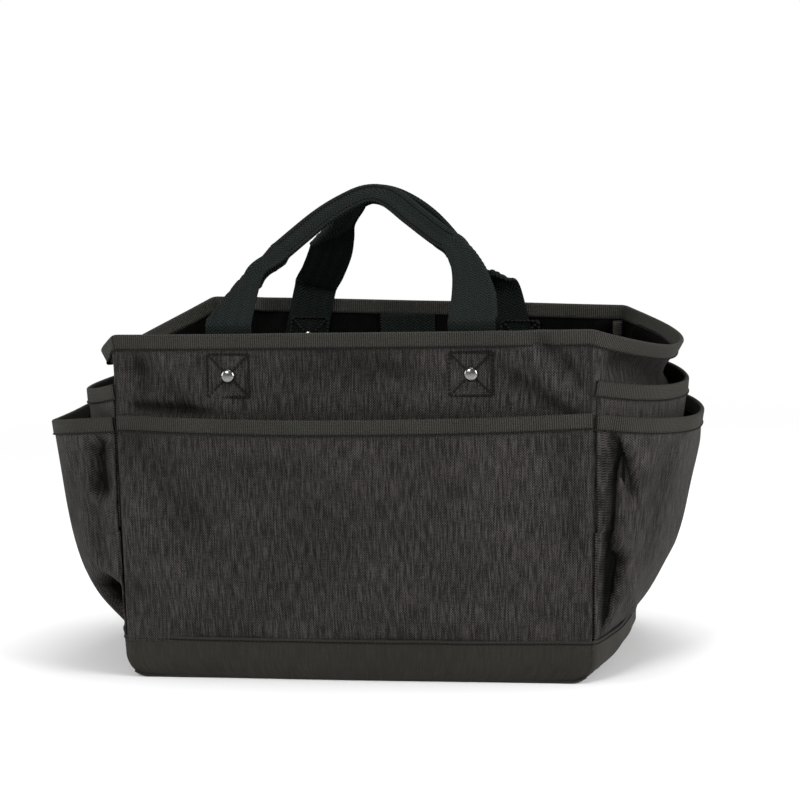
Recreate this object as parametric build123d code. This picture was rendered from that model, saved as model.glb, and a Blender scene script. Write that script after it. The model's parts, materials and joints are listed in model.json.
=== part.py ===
"""Garden tool bag: an open-top tote sewn from polyester cloth, with pockets on all four sides.

Frame: +Z up, +X to the bag's right, -Y towards its front. The origin is the centre of the flat base.
Millimetres throughout. The front and right sides are built, and mirrored to give the back and left.
"""

import os
from math import asin, cos, radians, sin, sqrt

from build123d import *

# ---- driving dimensions -------------------------------------------------------------------------
HEIGHT = 288.0  # floor to rim
HALF_WIDTH_FLOOR = 195.0
HALF_WIDTH_RIM = 197.5
HALF_DEPTH_FLOOR = 118.0
HALF_DEPTH_RIM = 126.5

CLOTH = 1.6  # body cloth with its backing
POCKET_CLOTH = 1.4
TAPE = 1.0  # one layer of binding tape
TAPE_GAP = 0.15  # between a tape and the cloth it folds over
LAYER_GAP = 0.2  # between two layers of cloth that are sewn together
TAPE_WIDTH = 11.0  # how far a binding comes down each face

BAND_TOP = 36.0  # reinforced band round the foot of the bag
PANEL_FOOT = 26.0  # the body panels reach down inside the band to here
CORNER_ROUND = 20.0  # rounding of the band's lower corners, seen from the front
BAND_FOOT_THICK = 3.4  # width of the side band's edge on the floor
BAND_FOOT_BULGE = 4.0  # how far that edge bows out at mid-depth

FRONT_POCKET_TOP = 221.0
FRONT_POCKET_GAPE = 12.0  # how far its mouth stands open
LOWER_POCKET_TOP = 221.0
LOWER_POCKET_REACH = 83.0  # how far its mouth stands out from the bag's corner line
LOWER_POCKET_FULLNESS = 2.4  # 1 is straight from foot to mouth; more is fuller below
UPPER_POCKET_FOOT = 120.0
UPPER_POCKET_TOP = 248.0
UPPER_POCKET_REACH = 66.0
RIM_SAG = 26.0  # drop of the side rims at mid-depth
POCKET_SAG = 15.0  # drop of the side pockets' mouths at mid-depth

STRAP_WIDTH = 38.0
STRAP_THICK = 2.2
STRAP_X = 100.0  # centre of each handle leg
STRAP_FOOT = 236.0  # lower end of the sewn tail
PIVOT_Y = 124.8  # the handle bends about this line, just above the rim
PIVOT_Z = HEIGHT + 8.0
HANDLE_LENGTH = 158.0  # pivot line to the top of the grip, along the handle
HANDLE_MEET = 6.0  # each grip stops this far from the bag's middle plane
GRIP_THICK = 4.4  # the strap is folded double at the grip
GRIP_WIDTH = 21.0
GRIP_START = 74.0  # along the handle, from the pivot line
HINGE_GAP = 1.8  # the moving strap starts this far from the pivot line

RIVET_Z = 255.5
RIVET_CAP_R = 6.0
RIVET_DOME_R = 8.4
RIVET_SKIRT = 0.5
RIVET_POST_R = 1.5
RIVET_HOLE_R = 1.7
RIVET_BACK_R = 5.0
RIVET_BACK_THICK = 1.6
RIVET_SOCKET_DEPTH = 0.9
BOX_STITCH_WIDTH = 35.0
BOX_STITCH_HEIGHT = 33.5
THREAD = 0.8
THREAD_LIFT = 0.65  # middle of the thread to the face it lies on

BOARD_HALF_X = 172.0
BOARD_HALF_Y = 112.0
BOARD_THICK = 2.8
BOARD_CORNER_R = 14.0

INNER_STRAP_WIDTH = 50.0
INNER_STRAP_THICK = 1.8
INNER_STRAP_LENGTH = 112.0
INNER_STRAP_PIVOT_Z = 271.0
INNER_STRAP_HEM = 16.0

SEAM_FIN = 8.0  # how far a corner's seam allowance stands into the bag
SEAM_FIN_THICK = 2.6
SEAM_FIN_TURN = -48.0  # degrees, so that it points at the bag's middle

OUT = "parts"


# ---- the bag's shape, as functions of height ------------------------------------------------------
def half_width(z):
    """Corner line of the bag, from its middle plane, across."""
    return HALF_WIDTH_FLOOR + (HALF_WIDTH_RIM - HALF_WIDTH_FLOOR) * z / HEIGHT


def half_depth(z):
    """Corner line of the bag, from its middle plane, front to back."""
    return HALF_DEPTH_FLOOR + (HALF_DEPTH_RIM - HALF_DEPTH_FLOOR) * z / HEIGHT


def front_bulge(z):
    """How far the front panel's middle stands out from the corner line."""
    return 2.0 + 5.0 * sin(radians(180.0 * min(z / HEIGHT, 1.0) * 0.86))


def side_bulge(z):
    """How far a side panel's middle stands out from the corner line."""
    return 8.0 + 0.26 * z - 0.00034 * z * z


def lower_pocket_reach(z):
    """How far the lower side pocket's middle stands out from the corner line."""
    foot = side_bulge(BAND_TOP) + LAYER_GAP + POCKET_CLOTH
    rise = max(0.0, LOWER_POCKET_TOP - z) / (LOWER_POCKET_TOP - BAND_TOP)
    return foot + (LOWER_POCKET_REACH - foot) * (1.0 - rise**LOWER_POCKET_FULLNESS)


def upper_pocket_reach(z):
    """How far the upper side pocket's middle stands out from the corner line."""
    foot = side_bulge(UPPER_POCKET_FOOT) + LAYER_GAP + POCKET_CLOTH + 0.4
    rise = (UPPER_POCKET_TOP - z) / (UPPER_POCKET_TOP - UPPER_POCKET_FOOT)
    return foot + (UPPER_POCKET_REACH - foot) * (1.0 - rise * rise)


# ---- building blocks ------------------------------------------------------------------------------
def front_point(along, out, z):
    """A point of a front wall: along X, and out towards -Y."""
    return (along, -out, z)


def right_point(along, out, z):
    """A point of a right wall: along Y, and out towards +X."""
    return (out, along, z)


def strip_wire(z, half_chord, chord_out, bulge, inside, outside, point):
    """Closed outline at height z of a strip of cloth that bows outwards in an arc.

    The arc's ends lie half_chord each side of the middle and chord_out from the bag's middle plane.
    The strip runs from `inside` within the arc to `outside` beyond it.
    """
    radius = (half_chord**2 + bulge**2) / (2.0 * bulge)
    centre = chord_out + bulge - radius
    angle = asin(half_chord / radius)

    def on_arc(r, turn):
        return point(r * sin(turn), centre + r * cos(turn), z)

    outer, inner = radius + outside, radius - inside
    return Wire(
        [
            Edge.make_three_point_arc(on_arc(outer, -angle), on_arc(outer, 0), on_arc(outer, angle)),
            Edge.make_line(on_arc(outer, angle), on_arc(inner, angle)),
            Edge.make_three_point_arc(on_arc(inner, angle), on_arc(inner, 0), on_arc(inner, -angle)),
            Edge.make_line(on_arc(inner, -angle), on_arc(outer, -angle)),
        ]
    )


def wall(heights, chord, inside, outside, point):
    """A curved wall lofted through one strip at each height. chord(z) gives half_chord, chord_out, bulge."""
    wires = [strip_wire(z, *chord(z), inside, outside, point) for z in heights]
    return Solid.make_loft(wires)


def sagging_line(y_half, z_end, z_middle):
    """An edge in the YZ plane from -y_half to y_half that drops from z_end to z_middle."""
    if abs(z_end - z_middle) < 1e-6:
        return Edge.make_line((0, -y_half, z_end), (0, y_half, z_end))
    return Edge.make_three_point_arc((0, -y_half, z_end), (0, 0, z_middle), (0, y_half, z_end))


def side_slab(y_half, low, high, sag_low, sag_high):
    """The space on the bag's right between two lines that sag by sag_low and sag_high at mid-depth."""
    bottom = sagging_line(y_half, low, low - sag_low)
    top = sagging_line(y_half, high, high - sag_high)
    ends = [
        Edge.make_line(bottom.position_at(1), top.position_at(1)),
        Edge.make_line(top.position_at(0), bottom.position_at(0)),
    ]
    face = Face(Wire([bottom, ends[0], top, ends[1]]))
    return Pos(150, 0, 0) * extrude(face, 160, dir=(1, 0, 0))


def front_slab(x_half, low, high):
    """The space in front of the bag's middle plane between two heights."""
    return Pos(0, -100, (low + high) / 2) * Box(2 * x_half, 200, high - low)


def binding(heights, chord, cloth, point, tape_space, slot_space):
    """Tape folded over a wall's top edge: a thick wall less the slot that holds the cloth."""
    thick = wall(heights, chord, cloth + TAPE_GAP + TAPE, TAPE_GAP + TAPE, point)
    slot = wall(heights, chord, cloth + TAPE_GAP, TAPE_GAP, point)
    return (thick & tape_space) - (slot & slot_space)


# ---- arcs that the walls follow -------------------------------------------------------------------
def front_chord(z):
    return half_width(z), half_depth(z), front_bulge(z)


def side_chord(z):
    return half_depth(z) - 3.2, half_width(z), side_bulge(z)


def front_pocket_chord(z):
    rise = (FRONT_POCKET_TOP - z) / (FRONT_POCKET_TOP - BAND_TOP)
    gape = FRONT_POCKET_GAPE * (1.0 - rise * rise)
    stand_off = 3.0 - 1.2 * rise
    return half_width(z) - 0.8, half_depth(z) + stand_off, front_bulge(z) + gape


def lower_pocket_chord(z):
    rise = (LOWER_POCKET_TOP - z) / (LOWER_POCKET_TOP - BAND_TOP)
    chord_out = half_width(z) + 3.2 - 1.4 * rise
    return half_depth(z) - 0.6, chord_out, half_width(z) + lower_pocket_reach(z) - chord_out


def upper_pocket_chord(z):
    """Its ends are sewn to the side panel a little in from the corner."""
    half, out, bulge = side_chord(z)
    radius = (half**2 + bulge**2) / (2.0 * bulge)
    end = half_depth(z) - 4.5
    on_panel = out + bulge - radius + sqrt(radius**2 - end**2)
    chord_out = on_panel + 4.4
    return end, chord_out, half_width(z) + upper_pocket_reach(z) - chord_out


# ---- body -------------------------------------------------------------------------------------------
def rivet_hole(x):
    """A hole through the front wall and the strap behind it."""
    return Pos(x, -PIVOT_Y, RIVET_Z) * Rot(90, 0, 0) * Cylinder(RIVET_HOLE_R, 20)


def front_panel():
    panel = wall([PANEL_FOOT, 115, 205, HEIGHT], front_chord, CLOTH, 0, front_point)
    for x in (-STRAP_X, STRAP_X):
        panel -= rivet_hole(x)
    return panel


def right_side_panel():
    heights = [PANEL_FOOT, 115, 205, HEIGHT + 3]
    panel = wall(heights, side_chord, CLOTH, 0, right_point)
    return panel & side_slab(HALF_DEPTH_RIM, PANEL_FOOT, HEIGHT, 0, RIM_SAG)


def base_panel():
    """Flat bottom cloth. Its underside is the face that the bag rests on."""
    half_x = band_half_width(0.0) - BAND_FOOT_THICK - LAYER_GAP
    half_y = HALF_DEPTH_FLOOR - 0.4
    reach_x, reach_y = half_x + BAND_FOOT_BULGE, half_y + front_bulge(0)
    outline = Wire(
        [
            Edge.make_three_point_arc((-half_x, -half_y), (0, -reach_y), (half_x, -half_y)),
            Edge.make_three_point_arc((half_x, -half_y), (reach_x, 0), (half_x, half_y)),
            Edge.make_three_point_arc((half_x, half_y), (0, reach_y), (-half_x, half_y)),
            Edge.make_three_point_arc((-half_x, half_y), (-reach_x, 0), (-half_x, -half_y)),
        ]
    )
    return extrude(Face(outline), CLOTH, dir=(0, 0, 1))


def band_half_width(z):
    """Outer corner of the foot band, which is rounded at the floor."""
    straight = half_width(BAND_TOP) + 1.8
    if z >= CORNER_ROUND:
        return straight
    return straight - CORNER_ROUND + sqrt(CORNER_ROUND**2 - (CORNER_ROUND - z) ** 2)


def front_base_band():
    straight = band_half_width(BAND_TOP)

    def chord(z):
        return straight, half_depth(z) + LAYER_GAP + POCKET_CLOTH, front_bulge(z)

    band = wall([0, BAND_TOP / 2, BAND_TOP], chord, POCKET_CLOTH, 0, front_point)
    outline = Rectangle(2 * straight, 2 * BAND_TOP)
    outline = fillet(outline.vertices().group_by(Axis.Y)[0], CORNER_ROUND)
    prism = extrude(Plane.XZ.offset(60) * Pos(0, BAND_TOP) * outline, 100)
    return band & prism


def right_base_band():
    """It curves in under the bag at the floor, so its section is wider there."""
    sections = [(0.0, BAND_FOOT_THICK), (3.5, 2.6), (9.0, 2.0), (18.0, 1.7), (27.0, 1.6), (BAND_TOP, 1.6)]
    wires = []
    for z, thickness in sections:
        bulge = BAND_FOOT_BULGE + (side_bulge(z) - BAND_FOOT_BULGE) * min(1.0, z / CORNER_ROUND)
        chord = (half_depth(z) - 0.4, band_half_width(z), bulge)
        wires.append(strip_wire(z, *chord, thickness, 0, right_point))
    return Solid.make_loft(wires, ruled=True)


def base_board():
    """Stiff sheet that lies loose on the base cloth."""
    board = Box(2 * BOARD_HALF_X, 2 * BOARD_HALF_Y, BOARD_THICK)
    board = fillet(board.edges().filter_by(Axis.Z), BOARD_CORNER_R)
    clearance = 0.1
    return Pos(0, 0, CLOTH + clearance + BOARD_THICK / 2) * board


def corner_seam_tape():
    """Bound seam allowance, which stands inside the bag along one corner. Front right."""
    inset_x, inset_y = 5.6, 7.0  # its middle, from the corner line
    wires = []
    for z in (PANEL_FOOT + 16, HEIGHT - TAPE_WIDTH - 3):
        plane = Plane(origin=(half_width(z) - inset_x, -half_depth(z) + inset_y, z))
        section = plane * Rot(0, 0, SEAM_FIN_TURN) * Rectangle(SEAM_FIN, SEAM_FIN_THICK)
        wires.append(section.face().outer_wire())
    return Solid.make_loft(wires, ruled=True)


# ---- pockets ----------------------------------------------------------------------------------------
def front_pocket():
    heights = [BAND_TOP + LAYER_GAP, 98, 160, FRONT_POCKET_TOP]
    return wall(heights, front_pocket_chord, POCKET_CLOTH, 0, front_point)


def right_lower_pocket():
    heights = [BAND_TOP + LAYER_GAP, 85, 130, 175, LOWER_POCKET_TOP + 3]
    pocket = wall(heights, lower_pocket_chord, POCKET_CLOTH, 0, right_point)
    return pocket & side_slab(HALF_DEPTH_RIM + 4, BAND_TOP, LOWER_POCKET_TOP, 0, POCKET_SAG)


def right_upper_pocket():
    heights = [UPPER_POCKET_FOOT, 165, 210, UPPER_POCKET_TOP + 3]
    pocket = wall(heights, upper_pocket_chord, POCKET_CLOTH, 0, right_point)
    return pocket & side_slab(HALF_DEPTH_RIM, UPPER_POCKET_FOOT, UPPER_POCKET_TOP, 0, POCKET_SAG)


# ---- bindings ---------------------------------------------------------------------------------------
def front_binding(top, chord, cloth, trim):
    """Level binding over a front wall. trim shortens each end."""
    half = chord(top)[0] - trim
    tape_space = front_slab(half, top - TAPE_WIDTH, top + TAPE_GAP + TAPE)
    slot_space = front_slab(half + 5, top - TAPE_WIDTH - 2, top + TAPE_GAP)
    heights = [top - TAPE_WIDTH - 3, top - 4, top + 3]
    return binding(heights, chord, cloth, front_point, tape_space, slot_space)


def right_binding(top, chord, cloth, sag, trim):
    """Binding that sags with a right wall's top edge. trim shortens each end."""
    half = chord(top)[0] - trim
    tape_space = side_slab(half, top - TAPE_WIDTH, top + TAPE_GAP + TAPE, sag, sag)
    slot_space = side_slab(half + 5, top - TAPE_WIDTH - 2, top + TAPE_GAP, sag, sag)
    heights = [top - TAPE_WIDTH - sag - 5, top - TAPE_WIDTH, top + 4]
    return binding(heights, chord, cloth, right_point, tape_space, slot_space)


# ---- handles ----------------------------------------------------------------------------------------
def handle_tails():
    """The two sewn ends of one strap, inside the front panel. Each ends in a round on the pivot line."""
    tails = []
    for x in (-STRAP_X, STRAP_X):
        height = PIVOT_Z - STRAP_FOOT
        flat = Pos(x, -PIVOT_Y, STRAP_FOOT + height / 2) * Box(STRAP_WIDTH, STRAP_THICK, height)
        bend = Pos(x, -PIVOT_Y, PIVOT_Z) * Rot(0, 90, 0) * Cylinder(STRAP_THICK / 2, STRAP_WIDTH)
        tails.append(flat + bend - rivet_hole(x))
    return tails


def handle_plane():
    """The leaning plane of the front handle, with its origin on the pivot line and +Y up the handle."""
    lean = asin((PIVOT_Y - HANDLE_MEET) / HANDLE_LENGTH)
    normal = (0, -cos(lean), sin(lean))
    return Plane(origin=(0, -PIVOT_Y, PIVOT_Z), x_dir=(1, 0, 0), z_dir=normal)


def chain(points):
    """Straight edges from each point to the next."""
    return [Edge.make_line(a, b) for a, b in zip(points, points[1:])]


def handle_strap():
    """The part of the strap above the rim: flat legs that narrow to a grip folded double."""
    half, top = STRAP_WIDTH / 2, HANDLE_LENGTH
    # Right half of each edge, from the hinge up, as (across, up the handle).
    outer = [(STRAP_X + half, HINGE_GAP), (STRAP_X - 17, 84), (20, top - 7)]
    inner = [
        (STRAP_X - half, HINGE_GAP),
        (STRAP_X - half, 56),
        (STRAP_X - 37, GRIP_START),
        (16, top - GRIP_WIDTH - 6),
    ]
    outer_left = [(-x, h) for x, h in outer]
    inner_left = [(-x, h) for x, h in inner]
    edges = chain(outer)
    edges.append(Edge.make_three_point_arc(outer[-1], (0, top), outer_left[-1]))
    edges += chain(outer_left[::-1] + inner_left)
    edges.append(Edge.make_three_point_arc(inner_left[-1], (0, top - GRIP_WIDTH), inner[-1]))
    edges += chain(inner[::-1] + outer[:1])
    outline = Face(Wire(edges))
    flat = extrude(outline, STRAP_THICK / 2, both=True)
    above_start = Pos(0, GRIP_START + top / 2, 0) * Box(4 * STRAP_X, top, 10 * GRIP_THICK)
    grip = extrude(outline, GRIP_THICK / 2, both=True) & above_start
    return handle_plane() * (flat + grip)


# ---- rivets and stitching ---------------------------------------------------------------------------
def front_face_y(x, z):
    """Outer face of the front panel."""
    half, out, bulge = front_chord(z)
    radius = (half**2 + bulge**2) / (2.0 * bulge)
    return -(out + bulge - radius + sqrt(radius**2 - x**2))


def rivet_caps():
    """Domed caps outside the front panel, each with the post that goes through it and the strap."""
    caps = []
    for x in (-STRAP_X, STRAP_X):
        face = front_face_y(x, RIVET_Z) - 0.25
        to_rim = sqrt(RIVET_DOME_R**2 - RIVET_CAP_R**2)
        dome = Sphere(RIVET_DOME_R) - Pos(0, 0, to_rim - RIVET_DOME_R) * Box(20, 20, 2 * RIVET_DOME_R)
        skirt = Pos(0, 0, RIVET_SKIRT / 2) * Cylinder(RIVET_CAP_R, RIVET_SKIRT)
        dome = Pos(0, 0, RIVET_SKIRT - to_rim) * dome + skirt
        length = -PIVOT_Y + STRAP_THICK / 2 + 0.9 - face
        post = Pos(0, 0, -length / 2) * Cylinder(RIVET_POST_R, length)
        caps.append(Pos(x, face, RIVET_Z) * Rot(90, 0, 0) * (dome + post))
    return caps


def rivet_backs():
    """Flat discs inside the strap, each with a socket that the cap's post enters."""
    backs = []
    for x in (-STRAP_X, STRAP_X):
        face = -PIVOT_Y + STRAP_THICK / 2 + 0.15
        disc = Pos(0, 0, -RIVET_BACK_THICK / 2) * Cylinder(RIVET_BACK_R, RIVET_BACK_THICK)
        disc = chamfer(disc.edges().group_by(Axis.Z)[0], RIVET_BACK_THICK / 4)
        disc -= Pos(0, 0, -RIVET_SOCKET_DEPTH / 2) * Cylinder(RIVET_HOLE_R, RIVET_SOCKET_DEPTH + 0.1)
        backs.append(Pos(x, face, RIVET_Z) * Rot(90, 0, 0) * disc)
    return backs


def box_stitches():
    """Thread of the boxed cross that fixes each strap, round its rivet."""
    stitches = []
    across, up = BOX_STITCH_WIDTH / 2, BOX_STITCH_HEIGHT / 2
    for x in (-STRAP_X, STRAP_X):
        top_y, low_y = front_face_y(x, RIVET_Z + up), front_face_y(x, RIVET_Z - up)
        left_y, right_y = front_face_y(x - across, RIVET_Z), front_face_y(x + across, RIVET_Z)
        tilt_up = Vector(0, top_y - low_y, 2 * up).normalized()
        tilt_across = Vector(2 * across, right_y - left_y, 0).normalized()
        normal = tilt_across.cross(tilt_up)
        plane = Plane(
            origin=Vector(x, front_face_y(x, RIVET_Z), RIVET_Z) + normal * THREAD_LIFT,
            x_dir=tilt_across,
            z_dir=normal,
        )
        bars = [Pos(0, side * up) * Box(2 * across + THREAD, THREAD, THREAD) for side in (-1, 1)]
        bars += [Pos(side * across, 0) * Box(THREAD, 2 * up, THREAD) for side in (-1, 1)]
        for side in (-1, 1):
            length = 2 * sqrt(across**2 + up**2)
            angle = side * Vector(1, 0, 0).get_angle(Vector(across, up, 0))
            bars.append(Rot(0, 0, angle) * Box(length, THREAD, THREAD))
        cross = bars[0]
        for bar in bars[1:]:
            cross += bar
        cross -= Cylinder(RIVET_CAP_R + 0.3, 4)
        stitches.append(plane * cross)
    return stitches


# ---- inner strap, on the back panel -------------------------------------------------------------------
def inner_strap_y():
    """Middle of the strap's thickness, inside the back panel."""
    return half_depth(HEIGHT) - CLOTH - 1.0


def inner_strap_anchor():
    """The sewn end, just under the rim binding, with a round on the line that the strap bends about."""
    top = HEIGHT - TAPE_WIDTH - 0.5
    height = top - INNER_STRAP_PIVOT_Z
    at = Pos(0, inner_strap_y(), INNER_STRAP_PIVOT_Z)
    flat = at * Pos(0, 0, height / 2) * Box(INNER_STRAP_WIDTH, INNER_STRAP_THICK, height)
    bend = at * Rot(0, 90, 0) * Cylinder(INNER_STRAP_THICK / 2, INNER_STRAP_WIDTH)
    return flat + bend


def inner_strap():
    """The hanging end, hemmed double at its foot."""
    gap = 1.5
    at = Pos(0, inner_strap_y(), INNER_STRAP_PIVOT_Z)
    length = INNER_STRAP_LENGTH - gap
    flat = at * Pos(0, 0, -gap - length / 2) * Box(INNER_STRAP_WIDTH, INNER_STRAP_THICK, length)
    hem = Box(INNER_STRAP_WIDTH, INNER_STRAP_THICK, INNER_STRAP_HEM)
    return flat + at * Pos(0, -INNER_STRAP_THICK, -INNER_STRAP_LENGTH + INNER_STRAP_HEM / 2) * hem


# ---- assembly -----------------------------------------------------------------------------------------
def back(shape):
    return mirror(shape, about=Plane.XZ)


def left(shape):
    return mirror(shape, about=Plane.YZ)


def write(node, shape):
    shapes = shape if isinstance(shape, list) else [shape]
    solids = [s for one in shapes for s in one.solids()]
    whole = solids[0] if len(solids) == 1 else Compound(children=solids)
    export_step(whole, os.path.join(OUT, node + ".step"))


def write_both(name, shape, other):
    """Writes a front or right node and its mirror image."""
    shapes = shape if isinstance(shape, list) else [shape]
    turn = back if other == "back" else left
    write({"back": "front_", "left": "right_"}[other] + name, shapes)
    write(other + "_" + name, [turn(s) for s in shapes])


def main():
    os.makedirs(OUT, exist_ok=True)
    write_both("panel", front_panel(), "back")
    write_both("side_panel", right_side_panel(), "left")
    write("base_panel", base_panel())
    write_both("base_band", front_base_band(), "back")
    write_both("base_band", right_base_band(), "left")
    write("base_board", base_board())

    write_both("pocket", front_pocket(), "back")
    write_both("lower_pocket", right_lower_pocket(), "left")
    write_both("upper_pocket", right_upper_pocket(), "left")

    write_both("rim_binding", front_binding(HEIGHT, front_chord, CLOTH, 0.0), "back")
    write_both("rim_binding", right_binding(HEIGHT, side_chord, CLOTH, RIM_SAG, 2.6), "left")
    write_both("pocket_binding", front_binding(FRONT_POCKET_TOP, front_pocket_chord, POCKET_CLOTH, 0.0), "back")
    lower = right_binding(LOWER_POCKET_TOP, lower_pocket_chord, POCKET_CLOTH, POCKET_SAG, 1.2)
    write_both("lower_pocket_binding", lower, "left")
    upper = right_binding(UPPER_POCKET_TOP, upper_pocket_chord, POCKET_CLOTH, POCKET_SAG, 0.8)
    write_both("upper_pocket_binding", upper, "left")

    write_both("handle_tails", handle_tails(), "back")
    write_both("handle_strap", handle_strap(), "back")
    write_both("rivet_caps", rivet_caps(), "back")
    write_both("rivet_backs", rivet_backs(), "back")
    write_both("box_stitches", box_stitches(), "back")

    seam = corner_seam_tape()
    write("front_corner_seam_tapes", [seam, left(seam)])
    write("back_corner_seam_tapes", [back(seam), back(left(seam))])
    write("inner_strap_anchor", inner_strap_anchor())
    write("inner_strap", inner_strap())


main()
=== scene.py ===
"""Looks of the garden tool bag: sewn cloth, tape, webbing, thread and nickel on the CAD frame. Metres."""

import json
import math

import bpy
import numpy as np
from mathutils import Matrix, Vector


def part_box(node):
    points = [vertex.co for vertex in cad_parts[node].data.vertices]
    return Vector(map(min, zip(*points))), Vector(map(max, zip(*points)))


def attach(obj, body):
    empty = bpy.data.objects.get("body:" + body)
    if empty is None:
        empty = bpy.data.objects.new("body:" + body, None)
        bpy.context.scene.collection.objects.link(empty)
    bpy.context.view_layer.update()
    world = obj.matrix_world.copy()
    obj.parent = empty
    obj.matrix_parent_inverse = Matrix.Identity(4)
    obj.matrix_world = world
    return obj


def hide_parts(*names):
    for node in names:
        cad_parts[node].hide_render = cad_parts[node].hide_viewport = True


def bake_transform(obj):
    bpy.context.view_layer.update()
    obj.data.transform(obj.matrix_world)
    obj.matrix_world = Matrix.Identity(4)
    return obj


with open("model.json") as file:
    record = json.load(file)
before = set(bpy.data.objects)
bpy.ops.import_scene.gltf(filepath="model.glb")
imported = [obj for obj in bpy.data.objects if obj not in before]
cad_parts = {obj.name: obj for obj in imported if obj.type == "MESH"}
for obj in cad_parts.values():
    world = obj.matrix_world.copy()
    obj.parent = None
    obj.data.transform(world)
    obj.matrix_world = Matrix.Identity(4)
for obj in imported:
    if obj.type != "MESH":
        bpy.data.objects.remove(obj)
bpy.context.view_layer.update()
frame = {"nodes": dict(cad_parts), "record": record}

# ---- sizes taken from the frame, and the cloth's own
PANEL_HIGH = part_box("front_panel")[1]
RIM = PANEL_HIGH[2]
HALF_WIDTH_RIM = PANEL_HIGH[0]
HALF_WIDTH_FLOOR = HALF_WIDTH_RIM - 0.0025
HALF_DEPTH_RIM = 0.1265
HALF_DEPTH_FLOOR = 0.118
BAND_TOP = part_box("front_base_band")[1][2]
FRONT_POCKET_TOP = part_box("front_pocket")[1][2]
LOWER_POCKET_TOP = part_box("right_lower_pocket")[1][2]
UPPER_POCKET_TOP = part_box("right_upper_pocket")[1][2]
UPPER_POCKET_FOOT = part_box("right_upper_pocket")[0][2] + 0.008
LOWER_POCKET_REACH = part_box("right_lower_pocket")[1][0] - HALF_WIDTH_RIM
UPPER_POCKET_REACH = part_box("right_upper_pocket")[1][0] - HALF_WIDTH_RIM
RIVET_LOW, RIVET_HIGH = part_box("front_rivet_caps")
RIVET_Z = (RIVET_LOW[2] + RIVET_HIGH[2]) / 2
RIVET_R = (RIVET_HIGH[2] - RIVET_LOW[2]) / 2
RIVET_X = RIVET_HIGH[0] - RIVET_R
FRONT_JOINT = next(j for j in frame["record"]["behaviour"]["joints"] if j["name"] == "front_handle_fold")
PIVOT_Y = -FRONT_JOINT["pos_m"][1]
PIVOT_Z = FRONT_JOINT["pos_m"][2]
TAIL_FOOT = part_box("front_handle_tails")[0][2]
HANDLE_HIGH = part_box("front_handle_strap")[1]

RIM_SAG = 0.026
POCKET_SAG = 0.015
FOOT_LEAN = 0.006  # the foot stands this far to the left of the rim
BACK_RIM_SHIFT = 0.008  # the back rim stands this far to the right,
BACK_RIM_DRAW = 0.0405  # is drawn in by this share of its distance from the middle,
BACK_RIM_DROP = 0.0015  # hangs this much lower,
BACK_RIM_TILT = 0.033  # and falls this much per metre towards the right
FRONT_POCKET_FOOT = 0.030
FRONT_POCKET_SAG = 0.002
BAND_PROUD = 0.0024  # the foot band stands this far outside the body
BAND_THICK = 0.0016
BAND_FLOOR_BULGE = 0.004  # how far the band's short sides bulge at the floor
FLOOR_GAP = 0.0003  # the cloth's lowest row stays this far above the floor
CLOTH = 0.0014
TAPE = 0.0009
TAPE_WIDTH = 0.0115
WEBBING = 0.038
WEBBING_THICK = 0.0021
STITCH = 0.0034  # one stitch and the gap after it
THREAD = 0.00055  # thread radius
THREAD_SIDES = 6
TAPE_GAP = 0.0003  # between a tape and the cloth that it binds
SEAM_PROUD = 0.0004
STITCH_INSET = 0.0010  # from a tape's edge to its stitches
CORNER_ROUND = 0.020  # rounding of the foot band where it meets the floor
CORNER_SOFTNESS = 0.011  # length over which a corner of the bag is rounded
CLOTH_SHIFT = 0.7  # keeps the weave of one panel from repeating on the next
WALL_COLUMNS = 130
WALL_ROWS = 90
POCKET_COLUMNS = 150
FRONT, RIGHT, BACK, LEFT = range(4)
SIDES = (FRONT, RIGHT, BACK, LEFT)
LONG_SIDES = (FRONT, BACK)

# How each lower pocket is stuffed: extra reach, slant and squareness of its fall, sharpness of its corners.
POCKET_STUFFING = {RIGHT: (-0.005, 0.60, 0.35, 3.2), LEFT: (0.001, 0.42, 0.85, 4.5)}


# ---- the bag's shape
def half_width(z):
    return HALF_WIDTH_FLOOR + (HALF_WIDTH_RIM - HALF_WIDTH_FLOOR) * z / RIM


def half_depth(z):
    return HALF_DEPTH_FLOOR + (HALF_DEPTH_RIM - HALF_DEPTH_FLOOR) * z / RIM


def front_bulge(z):
    return 0.002 + 0.005 * np.sin(np.radians(155.0 * np.clip(z / RIM, 0, 1)))


def side_bulge(z, side):
    """The contents push the right rim out further than the left."""
    even = 0.008 + 0.26 * z - 0.34 * z * z
    lean = 0.015 if side == RIGHT else -0.012
    waist = -0.010 * np.exp(-(((z - 0.240) / 0.024) ** 2))
    return even + lean * (z / RIM) ** 2 + waist


def ease(t):
    return t * t * (3 - 2 * t)


def run_along(points):
    """Distance from the first point to each point of a line."""
    return np.concatenate([[0], np.cumsum(np.linalg.norm(np.diff(points, axis=0), axis=1))])


def back_rim_drop(x):
    return -BACK_RIM_DROP - BACK_RIM_TILT * x


def settle(points):
    """How loose cloth stands: its foot to the left, its back rim drawn in and sagging to the right."""
    points = np.array(points, float)
    x, y, z = points[..., 0].copy(), points[..., 1], points[..., 2].copy()
    height = np.clip(z / RIM, 0, 1)
    backwards = np.clip(y / HALF_DEPTH_RIM, 0, 1) ** 2
    shift = BACK_RIM_SHIFT - BACK_RIM_DRAW * x
    points[..., 0] += height**3 * backwards * shift - FOOT_LEAN * (1 - height)
    points[..., 2] += height**3 * backwards * back_rim_drop(x)
    return points


def arc(along, half_chord, chord_out, bulge):
    """Offsets (across, out) of a point on an arc, for along from -1 to 1."""
    radius = (half_chord**2 + bulge**2) / (2 * bulge)
    angle = np.arcsin(half_chord / radius) * along
    return radius * np.sin(angle), chord_out + bulge - radius + radius * np.cos(angle)


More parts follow.
